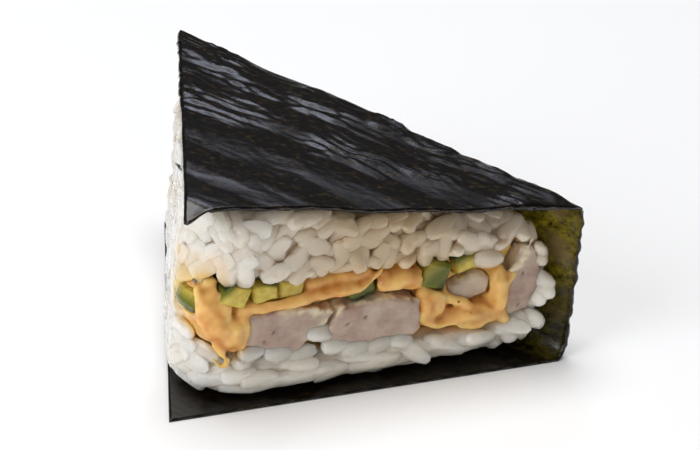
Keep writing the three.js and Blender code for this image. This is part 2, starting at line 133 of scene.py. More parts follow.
def new_material(name):
    material = bpy.data.materials.new(name)
    material.use_nodes = True
    material.node_tree.nodes.clear()
    return material, material.node_tree


def show(body, name, material, node):
    mesh = bpy.data.meshes.new(name)
    body.to_mesh(mesh)
    body.free()
    mesh.shade_smooth()
    mesh.materials.append(material)
    piece = bpy.data.objects.new(name, mesh)
    bpy.context.scene.collection.objects.link(piece)
    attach(piece, "root")
    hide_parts(node)
    return piece


# Steamed rice: warm translucent white with a moist gloss. Each grain differs a little in tone, some
# chalky and some glassy. It is darker with painted shade towards the right and the top, over a damper
# tone near the pocket, darker with painted shade in the creases between grains, and stained by the sauce.
rice_material, tree = new_material("steamed_rice")
coordinates = add_node(tree, "ShaderNodeTexCoord")
tone = add_node(tree, "ShaderNodeAttribute", {"attribute_name": "tone"})
stain = add_node(tree, "ShaderNodeAttribute", {"attribute_name": "stain"})
damp_shade = add_node(tree, "ShaderNodeAttribute", {"attribute_name": "damp_shade"})
crease_shade = add_node(tree, "ShaderNodeAttribute", {"attribute_name": "crease_shade"})
chalk = add_node(
    tree,
    "ShaderNodeTexNoise",
    inputs={"Vector": coordinates.outputs["Object"], "Scale": 1 / (2.2 * MM), "Detail": 3},
)
glassy = add_node(
    tree,
    "ShaderNodeMix",
    {"data_type": "RGBA"},
    {0: tone.outputs["Fac"], 6: linear("#eae7e0"), 7: linear("#dfd8cb")},
)
chalky_share = add_node(
    tree,
    "ShaderNodeMapRange",
    inputs={"Value": chalk.outputs["Fac"], "From Min": 0.45, "From Max": 0.7, "To Max": 0.5},
)
chalky = add_node(
    tree,
    "ShaderNodeMix",
    {"data_type": "RGBA"},
    {0: chalky_share.outputs[0], 6: glassy.outputs[2], 7: linear("#f0ede6")},
)
# Painted shade over a damp tone: darker towards the right and the top.
damp_shaded = add_node(
    tree,
    "ShaderNodeMix",
    {"data_type": "RGBA"},
    {0: damp_shade.outputs["Fac"], 6: chalky.outputs[2], 7: linear("#c8b291")},
)
# Painted shade: darker in the creases between grains.
crease_shaded = add_node(
    tree,
    "ShaderNodeMix",
    {"data_type": "RGBA"},
    {0: crease_shade.outputs["Fac"], 6: damp_shaded.outputs[2], 7: linear("#c2a67e")},
)
stained = add_node(
    tree,
    "ShaderNodeMix",
    {"data_type": "RGBA"},
    {0: stain.outputs["Fac"], 6: crease_shaded.outputs[2], 7: linear("#eec27a")},
)
skin = add_node(
    tree,
    "ShaderNodeTexNoise",
    inputs={"Vector": coordinates.outputs["Object"], "Scale": 1 / (0.7 * MM), "Detail": 2},
)
lie = add_node(tree, "ShaderNodeAttribute", {"attribute_name": "lie"})
surface = add_node(tree, "ShaderNodeNewGeometry")
softened = add_node(
    tree,
    "ShaderNodeMix",
    {"data_type": "VECTOR"},
    {0: 0.6, 4: surface.outputs["Normal"], 5: lie.outputs["Vector"]},
)
uneven = add_node(
    tree,
    "ShaderNodeBump",
    inputs={
        "Height": skin.outputs["Fac"],
        "Strength": 0.2,
        "Distance": 0.15 * MM,
        "Normal": softened.outputs[1],
    },
)
gloss = add_node(
    tree,
    "ShaderNodeMapRange",
    inputs={"Value": chalk.outputs["Fac"], "From Min": 0.3, "From Max": 0.7, "To Min": 0.12, "To Max": 0.28},
)
shader = add_node(
    tree,
    "ShaderNodeBsdfPrincipled",
    inputs={
        "Base Color": stained.outputs[2],
        "Roughness": gloss.outputs[0],
        "Normal": uneven.outputs["Normal"],
        "IOR": 1.4,
        "Subsurface Weight": 1.0,
        "Subsurface Radius": (1.0, 0.92, 0.82),
        "Subsurface Scale": 4.5 * MM,
        "Coat Weight": 0.7,
        "Coat Roughness": 0.06,
    },
)
add_node(tree, "ShaderNodeOutputMaterial", inputs={"Surface": shader.outputs["BSDF"]})

core = smoothed(remeshed(cad_copy("rice"), CORE_VOXEL), CORE_SMOOTHING)

# The voxels leave a loose crumb at the pocket's end, so only the largest connected body is kept.
unseen = set(core.verts)
islands = []
while unseen:
    island = [unseen.pop()]
    for vert in island:
        beside = {edge.other_vert(vert) for edge in vert.link_edges} & unseen
        unseen -= beside
        island.extend(beside)
    islands.append(island)
islands.sort(key=len)
crumbs = [vert for island in islands[:-1] for vert in island]
bmesh.ops.delete(core, geom=crumbs, context="VERTS")

# A thin wall is drawn in by a share of its thickness, so that it does not turn inside out.
full_core = BVHTree.FromBMesh(core)
for vert in core.verts:
    fuller = LEFT_FULLER * min(1.0, max(0.0, (vert.co.y - FULLER_FROM) / FULLER_OVER))
    under_skin = vert.co - vert.normal * 0.05 * MM
    thickness = full_core.ray_cast(under_skin, -vert.normal, THIN_WALL_REACH)[3]
    drawn_in = min(CORE_DRAWN_IN, THIN_WALL_SHARE * thickness) if thickness else CORE_DRAWN_IN
    vert.co -= vert.normal * (drawn_in - fuller * max(0.0, -vert.normal.x))
core.normal_update()
core.faces.ensure_lookup_table()
core_tree = BVHTree.FromBMesh(core)
core_faces = [(face.calc_center_median(), face.normal.copy(), face.calc_area()) for face in core.faces]

# Rice grains: the cooked grains that show on the front, the left side, the ends and the lips of the
# pocket. Each is a plump, slightly tapered grain 6 to 10 mm long and 4 mm wide, sunk in the mass and
# pressed flat on its outer face. The lower ones lie level, and a row lies under the two front chunks.
GRAIN_LENGTH = 7.8 * MM
GRAIN_WIDTH = 4.0 * MM
GRAIN_DEPTH = 3.2 * MM
GRAIN_LAYERS = [(2.9 * MM, 0.0 * MM), (3.6 * MM, 0.6 * MM)]
GRAIN_PROUD = 1.5 * MM
SIDE_PROUD = 0.9 * MM
GRAIN_TRIES = 14000
FLATTENED = 0.8
PROUD_GRAINS = [(24.8, -39.2, 24.5)]
CHUNKS_ON_GRAINS = ("chicken_1", "chicken_2")
ROW_SET_BACK = 1.2 * MM
ROW_STEP = (4.2, 6)
LYING_BELOW = 15 * MM
LEVEL_NEAR_NORI = 4.5 * MM
RIGHT_END = 36 * MM
RIGHT_END_SUNK = 0.6 * MM
RIGHT_CUT_FROM = 31 * MM
RIGHT_CUT_LOW = 9 * MM
RIGHT_CUT_HIGH = 27 * MM
DRIP_PLACE = Vector((-33.6, -37.5, 10.5)) * MM
DRIP_ROOM = 4 * MM
POCKET_FRONT = -34 * MM
WALL_BAND = 2.2 * MM
COVERED_BELOW = 3 * MM
COVERED_ABOVE = 4 * MM
STAIN_SPOTS = [(-39, -27, 26), (-38, -36, 26)]
# Painted shade over a damp tone: the rice darkens across these heights and towards the right, less so at the
# far right.
DAMP_SHADE_ABOVE = (14 * MM, 22 * MM)
DAMP_SHADE_RIGHTWARD = (-40 * MM, -2 * MM)
LESS_DAMP_SHADE_RIGHTWARD = (4 * MM, 24 * MM)
GRAIN_SEGMENTS = 10
GRAIN_RINGS = 6
NORI_SHEET = 0.6 * MM
NORI_CLEARANCE = 0.9 * MM
RIGHT_CORNER = Vector((44.65, -41.5)) * MM
BACK_CORNER = Vector((-6.75, 42.5)) * MM
LEFT_CORNER = Vector((-45.35, -41.5)) * MM
LEFT_HEIGHT = 45.7 * MM
RIGHT_HEIGHT = 35.0 * MM
BACK_HEIGHT = 46.4 * MM
CORNER_DROOP = 1.6 * MM
CORNER_REACH = 3.6 * MM
LEFT_BULGE = 2.0 * MM
BULGE_FROM = -32 * MM
BULGE_OVER = 22 * MM
FOLD_DROP = 0.3 * MM
FOLD_SLOPE = 9 * MM
along_fold = (BACK_CORNER - RIGHT_CORNER).normalized()
fold_outward = Vector((along_fold.y, -along_fold.x))
along_left = (BACK_CORNER - LEFT_CORNER).normalized()
left_outward = Vector((-along_left.y, along_left.x))
slope_x = (RIGHT_HEIGHT - LEFT_HEIGHT) / (RIGHT_CORNER.x - LEFT_CORNER.x)
slope_y = BACK_HEIGHT - LEFT_HEIGHT - slope_x * (BACK_CORNER.x - LEFT_CORNER.x)
slope_y /= BACK_CORNER.y - LEFT_CORNER.y


def corner_droop(x, y):
    return CORNER_DROOP * np.exp(-((x - LEFT_CORNER.x) ** 2 + (y - LEFT_CORNER.y) ** 2) / CORNER_REACH**2)


def fold_drop(out):
    return FOLD_DROP * np.clip(1 + out / FOLD_SLOPE, 0, 1) ** 2


def nori_plane(x, y):
    return LEFT_HEIGHT + slope_x * (x - LEFT_CORNER.x) + slope_y * (y - LEFT_CORNER.y)


def past_wall(x, y):
    return (x - RIGHT_CORNER.x) * fold_outward.x + (y - RIGHT_CORNER.y) * fold_outward.y


def past_left(x, y):
    return (x - LEFT_CORNER.x) * left_outward.x + (y - LEFT_CORNER.y) * left_outward.y


def ramp(value, low, high):
    share = min(1.0, max(0.0, (value - low) / (high - low)))
    return share * share * (3 - 2 * share)


def rice_shows(point, normal):
    if past_wall(point.x, point.y) > -WALL_BAND and normal.xy.dot(fold_outward) > 0.4:
        return False
    ceiling = nori_plane(point.x, point.y) - COVERED_ABOVE
    if abs(normal.z) > 0.75 and (point.z < COVERED_BELOW or point.z > ceiling):
        return False
    if point.x > RIGHT_CUT_FROM and RIGHT_CUT_LOW < point.z < RIGHT_CUT_HIGH and normal.y < -0.35:
        return False
    if (point - DRIP_PLACE).length < DRIP_ROOM:
        return False
    inside = core_tree.ray_cast(point + normal * 0.5 * MM, normal, 30 * MM)[0] is not None
    return point.y < POCKET_FRONT or not inside


def grain_spots(draw, spacing, tries):
    totals = np.cumsum([area for _, _, area in core_faces]).tolist()
    cells = {}
    steps = [(dx, dy, dz) for dx in (-1, 0, 1) for dy in (-1, 0, 1) for dz in (-1, 0, 1)]
    for _ in range(tries):
        centre, normal, _ = draw.choices(core_faces, cum_weights=totals)[0]
        cell = [math.floor(value / spacing) for value in centre]
        near = [tuple(a + b for a, b in zip(cell, step)) for step in steps]
        if any((other - centre).length < spacing for key in near for other in cells.get(key, ())):
            continue
        if rice_shows(centre, normal):
            cells.setdefault(tuple(cell), []).append(centre)
            yield centre, normal


# One plain grain, whose points are then blunted, bent, turned and placed for each grain.
plain_grain = bmesh.new()
bmesh.ops.create_uvsphere(plain_grain, u_segments=GRAIN_SEGMENTS, v_segments=GRAIN_RINGS, radius=1)
grain_points = np.array([vert.co for vert in plain_grain.verts])
grain_faces = [[vert.index for vert in face.verts] for face in plain_grain.faces]
plain_grain.free()


def placed_grain(place, lengthwise, outward, size, bend, room):
    crosswise = outward.cross(lengthwise).normalized()
    outward = lengthwise.cross(crosswise)
    across, out, along = grain_points.T
    taper = (1 - 0.1 * along) * np.maximum(np.hypot(across, out), 0.01) ** -0.25
    shape = np.stack(
        [
            along * size * GRAIN_LENGTH / 2,
            across * taper * GRAIN_WIDTH / 2,
            out * taper * GRAIN_DEPTH / 2 + bend * (0.5 - along**2) * GRAIN_WIDTH,
        ],
        axis=1,
    )
    shape[:, 2] -= FLATTENED * np.maximum(shape[:, 2] - room, 0)
    points = shape @ np.array([lengthwise, crosswise, outward]) + np.array(place)
    beyond = np.maximum(past_wall(points[:, 0], points[:, 1]) + NORI_CLEARANCE, 0)
    points[:, 0] -= fold_outward.x * beyond
    points[:, 1] -= fold_outward.y * beyond
    bulge = LEFT_BULGE * np.clip((points[:, 1] - BULGE_FROM) / BULGE_OVER, 0, 1)
    beyond = max(0.0, np.max(past_left(points[:, 0], points[:, 1]) - bulge))
    points[:, 0] -= left_outward.x * beyond
    points[:, 1] -= left_outward.y * beyond
    ceiling = nori_plane(points[:, 0], points[:, 1]) - NORI_SHEET - NORI_CLEARANCE
    ceiling -= corner_droop(points[:, 0], points[:, 1]) + fold_drop(past_wall(points[:, 0], points[:, 1]))
    points[:, 2] = np.clip(points[:, 2], NORI_SHEET + 0.1 * MM, ceiling)
    return points


draw = random.Random(7)
grain_list = []
tones = []
for layer_spacing, layer_rise in GRAIN_LAYERS:
    for centre, normal in grain_spots(draw, layer_spacing, GRAIN_TRIES):
        lying = centre.z < LYING_BELOW
        spin = draw.gauss(0, 0.3) if lying else draw.uniform(0, math.pi)
        tilt = draw.gauss(0, 0.1 if lying else 0.25)
        size = draw.uniform(1.0, 1.3) if lying else draw.uniform(0.78, 1.05)
        bend = draw.uniform(-0.12, 0.12)
        rise = layer_rise + draw.uniform(-0.4, 0.4) * MM
        if centre.x > RIGHT_END:
            rise -= RIGHT_END_SUNK
        tones.append(draw.random())
        sideways = Vector((0, 0, 1)).cross(normal)
        if sideways.length < 0.2:
            sideways = Vector((1, 0, 0))
        sideways.normalize()
        rising = normal.cross(sideways)
        to_nori = min(centre.z, nori_plane(centre.x, centre.y) - centre.z)
        steepness = 0.3 if to_nori < LEVEL_NEAR_NORI else 1
        lengthwise = sideways * math.cos(spin) + rising * math.sin(spin) * steepness
        lengthwise = (lengthwise + normal * tilt).normalized()
        room = (SIDE_PROUD if normal.x < -0.6 else GRAIN_PROUD) - rise
        grain_list.append(placed_grain(centre + normal * rise, lengthwise, normal, size, bend, room))
for place in PROUD_GRAINS:
    lengthwise = Vector((1, 0, draw.uniform(-0.1, 0.15))).normalized()
    facing = Vector((0, -1, 0.2))
    grain_list.append(placed_grain(Vector(place) * MM, lengthwise, facing, 0.9, 0.0, GRAIN_PROUD))
    tones.append(0.0)
for node in CHUNKS_ON_GRAINS:
    chunk = cad_copy(node)
    chunk_tree = BVHTree.FromBMesh(chunk)
    chunk.free()
    low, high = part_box(node)
    across = low.x + 2 * MM
    while across < high.x - 1 * MM:
        below = chunk_tree.ray_cast(Vector((across, low.y + ROW_SET_BACK, 0)), Vector((0, 0, 1)))[0]
        if below:
            lengthwise = Vector((1, draw.gauss(0, 0.12), draw.gauss(0, 0.15))).normalized()
            place = below - Vector((0, 0.3 * MM, 0.9 * MM))
            size = draw.uniform(0.8, 1.05)
            facing = Vector((0, -1, 0.3))
            grain_list.append(placed_grain(place, lengthwise, facing, size, 0.0, GRAIN_PROUD))
            tones.append(draw.random())
        across += draw.uniform(*ROW_STEP) * MM

# The grains are joined to the core as one closed heap, and each point of it takes the tone of its grain.
nearest_grain = KDTree(len(grain_list) * len(grain_points))
loose = bpy.data.collections.new("loose_grains")
for number, points in enumerate(grain_list):
    for point in points:
        nearest_grain.insert(point, number)
    grain_mesh = bpy.data.meshes.new("grain")
    grain_mesh.from_pydata(points.tolist(), [], grain_faces)
    loose.objects.link(bpy.data.objects.new("grain", grain_mesh))
nearest_grain.balance()
core_mesh = bpy.data.meshes.new("core")
core.to_mesh(core_mesh)
core.free()
holder = bpy.data.objects.new("core", core_mesh)
bpy.context.scene.collection.objects.link(holder)
union = holder.modifiers.new("union", "BOOLEAN")
union.operation = "UNION"
union.operand_type = "COLLECTION"
union.collection = loose
union.solver = "MANIFOLD"
heap = bmesh.new()
heap.from_mesh(holder.evaluated_get(bpy.context.evaluated_depsgraph_get()).to_mesh())
for thing in [holder, *loose.objects]:
    bpy.data.meshes.remove(thing.data)
bpy.data.collections.remove(loose)
sauce_copy = cad_copy("sauce")
sauce_tree = BVHTree.FromBMesh(sauce_copy)
sauce_copy.free()
tone_layer = heap.verts.layers.float.new("tone")
stain_layer = heap.verts.layers.float.new("stain")
damp_shade_layer = heap.verts.layers.float.new("damp_shade")
crease_shade_layer = heap.verts.layers.float.new("crease_shade")
lie_layer = heap.verts.layers.float_vector.new("lie")
for vert in heap.verts:
    vert[tone_layer] = tones[nearest_grain.find(vert.co)[1]]
    to_sauce = sauce_tree.find_nearest(vert.co)[3]
    spot = min((vert.co - Vector(place) * MM).length for place in STAIN_SPOTS)
    spot += noise.noise(vert.co / (3 * MM)) * 2 * MM
    # Painted shade over a damp tone: darker towards the top and the right, for the shade of the right side
    # and of the nori's overhang, and less so at the far right.
    above = 0.15 + 0.85 * ramp(vert.co.z, *DAMP_SHADE_ABOVE)
    less_damp_shade = 1 - 0.4 * ramp(vert.co.x, *LESS_DAMP_SHADE_RIGHTWARD)
    vert[damp_shade_layer] = above * ramp(vert.co.x, *DAMP_SHADE_RIGHTWARD) * less_damp_shade
    _, core_normal, _, core_apart = core_tree.find_nearest(vert.co)
    vert[lie_layer] = core_normal if core_normal.dot(vert.normal) > 0.3 else vert.normal
    # Painted shade: points that lie deep in the creases between grains, near the core, are darkened.
    deep = 1 - ramp(core_apart, 0.3 * MM, 1.5 * MM)
    vert[crease_shade_layer] = deep * (0.12 + 0.5 * vert[damp_shade_layer])
    beside_sauce = 1 - ramp(to_sauce, 0.3 * MM, 2.2 * MM)
    in_spot = 1 - ramp(spot, 2 * MM, 9 * MM)
    vert[stain_layer] = 0.7 * beside_sauce + 0.6 * in_spot
rice_heap = show(heap, "rice_heap", rice_material, "rice")
rice_heap.data.set_sharp_from_angle(angle=math.radians(48))

# Chicken: poached breast cut into chunks, laid in the pocket with their cut faces to the front.
# The meat is fine-fibred and pale pinkish, and frayed and cream where torn. Each chunk has its pores
# (across, up), the slants of its left and right ends, and torn strips of points (x, y, z, radius) in mm.
MEAT_VOXEL = 0.42 * MM
MEAT_SMOOTHING = 3
MEAT_FIBRE = 0.16 * MM
MEAT_LUMP = 0.45 * MM
FRAY = 0.45 * MM
PORE_RADIUS = 0.34 * MM
PORE_DEPTH = 0.5 * MM
CHUNKS = {
    "chicken_1": {
        "pores": [(-22.5, 14.6), (-24.2, 12.7)],
        "cream": 0.0,
        "slants": (0.0, 0.5),
        "strips": [
            [
                (-22, -37.3, 18.8, 0.5),
                (-16.3, -37.8, 18, 0.7),
                (-13, -37.6, 17.4, 0.6),
                (-10.9, -37.4, 16.8, 0.8),
            ],
            [
                (-10.7, -37.4, 16.5, 0.8),
                (-11.9, -37.5, 13.3, 0.6),
                (-13.5, -37.5, 11.3, 0.5),
            ],
        ],
    },
    "chicken_2": {
        "pores": [(-2.4, 14.9), (-6.3, 14.2)],
        "cream": 0.0,
        "slants": (0.5, 0.0),
        "strips": [
            [
                (4.6, -37.4, 8.2, 0.5),
                (8.6, -37.5, 9.2, 0.5),
                (10.5, -37.4, 10.6, 0.5),
            ],
        ],
    },
    "chicken_3": {
        "pores": [(34.2, 19.4), (33.9, 12.3)],
        "cream": 0.0,
        "slants": (0.0, 0.0),
        "strips": [
            [
                (35.4, -38, 27.6, 0.4),
                (34.6, -38.3, 25, 0.4),
                (33.4, -38.5, 22, 0.5),
                (31, -38.3, 20.6, 0.4),
            ],
        ],
    },
    "chicken_4": {
        "pores": [],
        "cream": 0.4,
        "slants": (0.0, 0.0),
        "strips": [],
    },
}

# Poached chicken: pale pinkish beige with faint fibres, creamy where its edges are torn, and darker
# with painted shade in its pores.
chicken_material, tree = new_material("poached_chicken")
coordinates = add_node(tree, "ShaderNodeTexCoord")
cream = add_node(tree, "ShaderNodeAttribute", {"attribute_name": "cream"})
pore_shade = add_node(tree, "ShaderNodeAttribute", {"attribute_name": "pore_shade"})
blotch = add_node(
    tree,
    "ShaderNodeTexNoise",
    inputs={"Vector": coordinates.outputs["Object"], "Scale": 1 / (5 * MM), "Detail": 7, "Roughness": 0.65},
)
blotch_share = add_node(
    tree,
    "ShaderNodeMapRange",
    inputs={"Value": blotch.outputs["Fac"], "From Min": 0.35, "From Max": 0.65},
)
meat = add_node(
    tree,
    "ShaderNodeMix",
    {"data_type": "RGBA"},
    {0: blotch_share.outputs[0], 6: linear("#b09488"), 7: linear("#cdbaa8")},
)
frayed = add_node(
    tree,
    "ShaderNodeMix",
    {"data_type": "RGBA"},
    {0: cream.outputs["Fac"], 6: meat.outputs[2], 7: linear("#e6dabd")},
)
# Painted shade in the pores.
pore_shaded = add_node(
    tree,
    "ShaderNodeMix",
    {"data_type": "RGBA"},
    {0: pore_shade.outputs["Fac"], 6: frayed.outputs[2], 7: linear("#8a6a58")},
)
stretched = add_node(
    tree,
    "ShaderNodeMapping",
    inputs={"Vector": coordinates.outputs["Object"], "Scale": (0.35, 1, 1), "Rotation": (0, 0.2, 0)},
)
fibres = add_node(
    tree,
    "ShaderNodeTexNoise",
    inputs={"Vector": stretched.outputs["Vector"], "Scale": 1 / (0.8 * MM), "Detail": 4},
)
grain_bump = add_node(
    tree,
    "ShaderNodeBump",
    inputs={"Height": fibres.outputs["Fac"], "Strength": 0.45, "Distance": 0.15 * MM},
)
shader = add_node(
    tree,
    "ShaderNodeBsdfPrincipled",
    inputs={
        "Base Color": pore_shaded.outputs[2],
        "Roughness": 0.5,
        "Normal": grain_bump.outputs["Normal"],
        "IOR": 1.4,
        "Subsurface Weight": 0.5,
        "Subsurface Radius": (1.0, 0.6, 0.45),
        "Subsurface Scale": 1.5 * MM,
    },
)
add_node(tree, "ShaderNodeOutputMaterial", inputs={"Surface": shader.outputs["BSDF"]})


def add_string(body, points):
    for start, end in zip(points, points[1:]):
        start, end = Vector(start), Vector(end)
        beads = max(1, round((end.xyz - start.xyz).length / (0.7 * min(start.w, end.w))))
        for bead in range(beads + 1):
            at = start.lerp(end, bead / beads) * MM
            bmesh.ops.create_icosphere(body, subdivisions=2, radius=at.w, matrix=Matrix.Translation(at.xyz))


for name, details in CHUNKS.items():
    chunk = cad_copy(name)
    strip_points = []
    for strip in details["strips"]:
        add_string(chunk, strip)
        for start, end in zip(strip, strip[1:]):
            strip_points += [Vector(start).lerp(Vector(end), step / 8) for step in range(9)]
    chunk = smoothed(remeshed(chunk, MEAT_VOXEL), MEAT_SMOOTHING)
    low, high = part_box(name)
    front = low.y
    cream_layer = chunk.verts.layers.float.new("cream")
    pore_shade_layer = chunk.verts.layers.float.new("pore_shade")
    moves = []
    for vert in chunk.verts:
        turned_away = ramp(1 + vert.normal.y, 0.12, 0.6)
        fibre = noise.noise(Vector((vert.co.x / 5, vert.co.y / 3, vert.co.z / 1.1)) / MM)
        lump = noise.noise(vert.co / (3.6 * MM))
        pit = 0.0
        for x, z in details["pores"]:
            apart = math.hypot(vert.co.x - x * MM, vert.co.z - z * MM)
            if vert.co.y < front + 2 * MM:
                pit = max(pit, 1 - ramp(apart, 0.3 * PORE_RADIUS, 1.4 * PORE_RADIUS))
        torn = 0.0
        for point in strip_points:
            torn = max(torn, 1 - ramp((vert.co - point.xyz * MM).length, point.w * MM, 3 * point.w * MM))
        torn *= ramp(noise.noise(vert.co / (1.4 * MM)), -0.5, 0.2)
        streak = turned_away * ramp(noise.noise(vert.co / (2.2 * MM)), -0.5, 0.4)
        vert[cream_layer] = max(details["cream"], streak, torn)
        fray = noise.noise(vert.co / (0.9 * MM)) * max(turned_away, torn)
        # Painted shade in the pores, which are also dented.
        vert[pore_shade_layer] = pit
        raised = MEAT_FIBRE * fibre + MEAT_LUMP * lump + FRAY * fray - PORE_DEPTH * pit
        moves.append(vert.normal * raised)
    left_slant, right_slant = details["slants"]
    for vert, move in zip(chunk.verts, moves):
        vert.co += move
        share = ramp(vert.co.x, low.x, high.x)
        slant = left_slant * (1 - share) + right_slant * share
        vert.co.x += slant * (vert.co.z - (low.z + high.z) / 2)
    show(chunk, name.replace("chicken", "chicken_chunk"), chicken_material, name)

# Cucumber: a fresh cucumber diced by knife. Each die has wet, yellow green flesh and a dark rind on
# one side. Its row gives the direction of the rind, across and up, and the share of it that is green.
DIE_VOXEL = 0.3 * MM
DIE_SMOOTHING = 2
DIE_UNEVEN = 0.12 * MM
RIND_SIDES = {
    "cucumber_1": (-0.2, -1.0, 1.0),
    "cucumber_2": (-0.7, 0.7, 0.25),
    "cucumber_3": (0.3, 1.0, 0.2),
    "cucumber_4": (0.2, 1.0, 0.15),
    "cucumber_5": (0.3, -1.0, 1.6),
    "cucumber_6": (0.6, -0.8, 1.3),
    "cucumber_7": (-0.5, 0.85, 0.5),
}

# Cut cucumber: watery flesh, brighter green towards the rind, and a dark thin rind.
cucumber_material, tree = new_material("cut_cucumber")
coordinates = add_node(tree, "ShaderNodeTexCoord")
depth_to_rind = add_node(tree, "ShaderNodeAttribute", {"attribute_name": "rind"})
cells = add_node(
    tree,
    "ShaderNodeTexNoise",
    inputs={"Vector": coordinates.outputs["Object"], "Scale": 1 / (1.2 * MM), "Detail": 4},
)
flesh_share = add_node(
    tree,
    "ShaderNodeMapRange",
    inputs={"Value": cells.outputs["Fac"], "From Min": 0.35, "From Max": 0.65},
)
flesh = add_node(
    tree,
    "ShaderNodeMix",
    {"data_type": "RGBA"},
    {0: flesh_share.outputs[0], 6: linear("#c8b04c"), 7: linear("#dac868")},
)
green_share = add_node(
    tree,
    "ShaderNodeMapRange",
    inputs={"Value": depth_to_rind.outputs["Fac"], "From Min": 0.0, "From Max": 0.6},
)
green = add_node(
    tree,
    "ShaderNodeMix",
    {"data_type": "RGBA"},
    {0: green_share.outputs[0], 6: flesh.outputs[2], 7: linear("#6a6e28")},
)
rind_share = add_node(
    tree,
    "ShaderNodeMapRange",
    inputs={"Value": depth_to_rind.outputs["Fac"], "From Min": 0.74, "From Max": 0.9},
)
rind = add_node(
    tree,
    "ShaderNodeMix",
    {"data_type": "RGBA"},
    {0: rind_share.outputs[0], 6: green.outputs[2], 7: linear("#1b3312")},
)
wet = add_node(
    tree,
    "ShaderNodeBump",
    inputs={"Height": cells.outputs["Fac"], "Strength": 0.2, "Distance": 0.15 * MM},
)
shader = add_node(
    tree,
    "ShaderNodeBsdfPrincipled",
    inputs={
        "Base Color": rind.outputs[2],
        "Roughness": 0.16,
        "Normal": wet.outputs["Normal"],
        "IOR": 1.36,
        "Subsurface Weight": 0.8,
        "Subsurface Radius": (0.8, 1.0, 0.4),
        "Subsurface Scale": 2.2 * MM,
    },
)
add_node(tree, "ShaderNodeOutputMaterial", inputs={"Surface": shader.outputs["BSDF"]})

for name, (rind_x, rind_z, green_part) in RIND_SIDES.items():
    die = smoothed(remeshed(cad_copy(name), DIE_VOXEL), DIE_SMOOTHING)
    rind_layer = die.verts.layers.float.new("rind")
    toward = Vector((rind_x, 0, rind_z)).normalized()
    reach = [vert.co.dot(toward) for vert in die.verts]
    low, high = min(reach), max(reach)
    for vert, value in zip(die.verts, reach):
        vert[rind_layer] = max(0.0, 1 - (high - value) / (high - low) / green_part)
    moves = [vert.normal * DIE_UNEVEN * noise.noise(vert.co / (1.3 * MM)) for vert in die.verts]
    for vert, move in zip(die.verts, moves):
        vert.co += move
    show(die, name.replace("cucumber", "cucumber_die"), cucumber_material, name)

# Sauce: thick spiced mayonnaise spread over the filling and squeezed out at the front, where it
# stands in soft folds and strings. Each fold is a string of points (x, y, z, radius) in millimetres.
SAUCE_VOXEL = 0.45 * MM
SAUCE_SMOOTHING = 3
SAUCE_RIPPLE = 0.5 * MM
RIDGE_SMOOTHING = 8
RIDGE_HEIGHT = 0.5 * MM
SAUCE_FOLDS = {
    "left mass": [
        (-36.6, -35.5, 20.5, 2.2),
        (-34.5, -36, 17.5, 3.4),
        (-31.5, -36.4, 15.5, 3.6),
        (-29.5, -36.8, 13.5, 2.4),
    ],
    "left string": [
        (-38, -34.5, 24.5, 0.9),
        (-37.4, -35.5, 21, 1.1),
        (-36.8, -36, 18, 1.6),
    ],
    "left fold": [
        (-33.3, -36.8, 23, 1.2),
        (-32.8, -37.4, 19, 1.5),
        (-33.6, -38, 15, 1.2),
    ],
    "by the chunk": [
        (-29, -37.3, 20, 1.4),
        (-29, -37.8, 16.5, 1.5),
        (-29.2, -37.8, 13, 1.5),
    ],
    "drip": [
        (-34.7, -37.8, 13.4, 1.1),
        (-33.6, -38.4, 11.8, 0.8),
        (-33.2, -38.8, 11, 0.5),
    ],
    "ring": [
        (-35.3, -38.4, 10.8, 0.5),
        (-34.4, -39.2, 9.4, 0.5),
        (-32.8, -39.2, 9.2, 0.6),
        (-32.1, -38.8, 10.6, 0.5),
    ],
    "band": [
        (-29, -37, 20, 1.4),
        (-25.3, -37.6, 20, 1.2),
        (-21.4, -37.8, 20.1, 1),
        (-17, -37.8, 20.7, 1.2),
        (-12.7, -37.6, 21.4, 1.4),
        (-8.2, -37.6, 21, 1.3),
        (-4.2, -37.8, 21.2, 1),
        (-1.2, -37.9, 22.8, 0.8),
        (1.8, -38, 26, 0.5),
    ],
    "behind the band": [
        (-14, -36.5, 23.3, 1.7),
        (-7.5, -36.5, 23.8, 1.7),
        (-2, -36.5, 23.8, 1.5),
    ],
    "middle": [
        (1.8, -36.5, 22.6, 1.7),
        (4.5, -36.8, 21, 1.5),
        (8, -37, 20.2, 1.2),
        (11.5, -36.8, 20.2, 1.2),
    ],
    "right mass": [
        (11.8, -36.8, 17.5, 1.8),
        (12.4, -37.2, 15, 2.1),
        (12.2, -37.2, 12.4, 1.7),
    ],
    "right fold": [
        (12.5, -37, 17, 1.2),
        (16.2, -37.2, 16.4, 1.2),
        (20, -37.6, 14.8, 1.3),
        (22.4, -37.8, 13.6, 1.2),
        (26, -37.8, 12.2, 1.2),
        (30, -37.8, 10.4, 1.5),
        (31.4, -38, 9, 0.9),
    ],
    "low fold": [
        (12.5, -37.5, 11.2, 1.2),
        (15.8, -37.8, 10.2, 1.1),
        (18.4, -37.8, 10.4, 1.2),
    ],
    "swirl": [
        (20, -37.8, 12.3, 1),
        (19.4, -38, 10.6, 0.9),
        (21, -38.2, 9.4, 0.9),
        (24.9, -38.2, 9.4, 1.2),
        (27.5, -38, 10.2, 1.2),
    ],
    "right string": [
        (30.3, -37.4, 10.5, 1.6),
        (29.6, -37.4, 13.9, 1.5),
        (30.4, -37.4, 17.1, 1.3),
        (32.6, -37.4, 20, 1),
    ],
}

sauce = cad_copy("sauce")
for points in SAUCE_FOLDS.values():
    add_string(sauce, points)
sauce = smoothed(remeshed(sauce, SAUCE_VOXEL), SAUCE_SMOOTHING)
before = [vert.co.copy() for vert in sauce.verts]
normals = [vert.normal.copy() for vert in sauce.verts]
smoothed(sauce, RIDGE_SMOOTHING)
